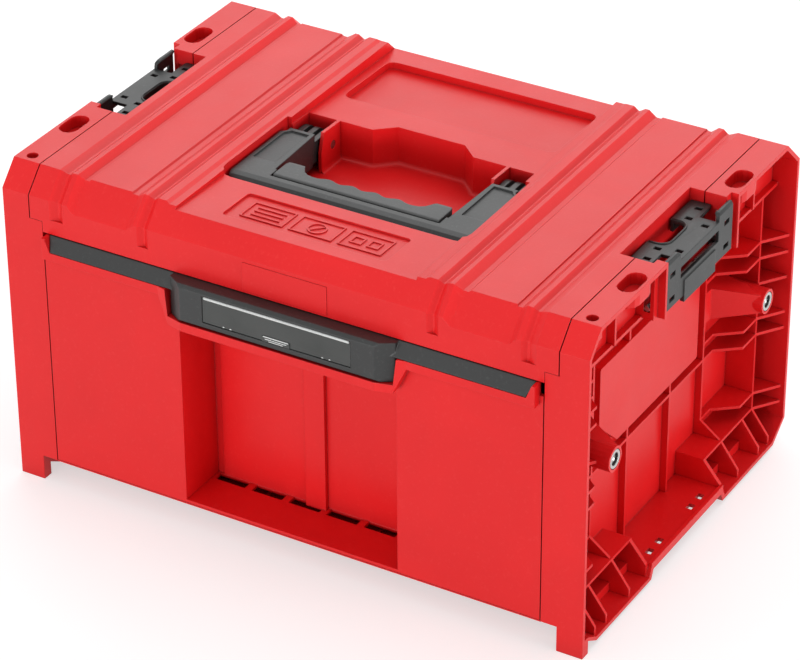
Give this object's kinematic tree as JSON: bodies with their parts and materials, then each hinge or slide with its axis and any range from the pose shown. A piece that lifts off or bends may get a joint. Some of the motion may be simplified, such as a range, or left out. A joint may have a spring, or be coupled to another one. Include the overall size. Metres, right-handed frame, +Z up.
{
  "type": "stackable drawer toolbox",
  "caption": "Stackable plastic toolbox with a deep front drawer, a ridged top with a folding carry handle, ribbed side panels and side stacking clips.",
  "frame": {"origin": "centre of the bounding box at the plane that the box rests on", "axes": "+X to the right of someone who faces the drawer, +Y towards the back, +Z up"},
  "size_m": [0.45, 0.3224, 0.2476],
  "materials": {
    "red_plastic": "satin moulded plastic with a fine grain",
    "dark_grey_plastic": "satin moulded plastic",
    "soft_grip": "matt soft-touch rubber",
    "smoked_window": "smoked gloss plastic",
    "grey_clip": "satin tough plastic",
    "zinc_steel": "zinc-plated steel",
    "bright_steel": "bright steel"
  },
  "bodies": {
    "case": {"back_panel": "red_plastic", "back_screw_lower_left": "zinc_steel", "back_screw_lower_right": "zinc_steel", "back_screw_upper_left": "zinc_steel", "back_screw_upper_right": "zinc_steel", "base_plate": "red_plastic", "base_screw_front_left": "zinc_steel", "base_screw_front_right": "zinc_steel", "base_screw_rear_left": "zinc_steel", "base_screw_rear_right": "zinc_steel", "cover_screw_front_left": "zinc_steel", "cover_screw_front_right": "zinc_steel", "cover_screw_rear_left": "zinc_steel", "cover_screw_rear_right": "zinc_steel", "handle_pin_left": "bright_steel", "handle_pin_right": "bright_steel", "side_panel_left": "red_plastic", "side_panel_right": "red_plastic", "slide_outer_left": "zinc_steel", "slide_outer_right": "zinc_steel", "threaded_insert_front_left": "bright_steel", "threaded_insert_front_right": "bright_steel", "threaded_insert_rear_left": "bright_steel", "threaded_insert_rear_right": "bright_steel", "top_cover": "red_plastic"},
    "drawer": {"drawer_bin": "dark_grey_plastic", "drawer_front": "red_plastic", "drawer_grip_bar": "dark_grey_plastic", "front_screw_lower_left": "zinc_steel", "front_screw_lower_right": "zinc_steel", "front_screw_upper_left": "zinc_steel", "front_screw_upper_right": "zinc_steel", "latch_pin": "bright_steel", "slide_inner_left": "zinc_steel", "slide_inner_right": "zinc_steel"},
    "ball_cages": {"ball_cage_left": "bright_steel", "ball_cage_right": "bright_steel"},
    "label_window": {"label_window": "smoked_window"},
    "latch": {"latch_lever": "dark_grey_plastic", "latch_spring": "bright_steel"},
    "carry_handle": {"carry_handle": "dark_grey_plastic", "handle_grip": "soft_grip"},
    "clip_bar_right": {"clip_bar_right": "bright_steel"},
    "clip_bar_left": {"clip_bar_left": "bright_steel"},
    "clip_right": {"stacking_clip_right": "grey_clip"},
    "clip_left": {"stacking_clip_left": "grey_clip"}
  },
  "joints": [
    {"name": "drawer_slide", "type": "slide", "parent": "case", "child": "drawer", "axis": [0, -1, 0], "range_m": [0, 0.19]},
    {"name": "ball_cage_slide", "type": "slide", "parent": "case", "child": "ball_cages", "axis": [0, -1, 0], "range_m": [0, 0.095]},
    {"name": "label_window_hinge", "type": "hinge", "parent": "drawer", "child": "label_window", "pos_m": [0, -0.15995, 0.1993], "axis": [-1, 0, 0], "range_deg": [0, 80]},
    {"name": "latch_pivot", "type": "hinge", "parent": "drawer", "child": "latch", "pos_m": [0, -0.13975, 0.192], "axis": [-1, 0, 0], "range_deg": [0, 10], "stiffness_Nm_per_rad": 0.15, "springref_deg": -17.19},
    {"name": "carry_handle_hinge", "type": "hinge", "parent": "case", "child": "carry_handle", "pos_m": [0, 0.02175, 0.2266], "axis": [-1, 0, 0], "range_deg": [0, 88]},
    {"name": "clip_bar_right_slide", "type": "slide", "parent": "case", "child": "clip_bar_right", "axis": [0, 0, 1], "range_m": [0, 0.02]},
    {"name": "clip_bar_left_slide", "type": "slide", "parent": "case", "child": "clip_bar_left", "axis": [0, 0, 1], "range_m": [0, 0.02]},
    {"name": "clip_right_tilt", "type": "hinge", "parent": "clip_bar_right", "child": "clip_right", "pos_m": [0.2144, 0.00625, 0.2136], "axis": [0, 1, 0], "range_deg": [0, 15]},
    {"name": "clip_left_tilt", "type": "hinge", "parent": "clip_bar_left", "child": "clip_left", "pos_m": [-0.2144, 0.00625, 0.2136], "axis": [0, -1, 0], "range_deg": [0, 15]}
  ],
  "couplings": [
    {"joint": "ball_cage_slide", "follows": "drawer_slide", "ratio": 0.5}
  ]
}
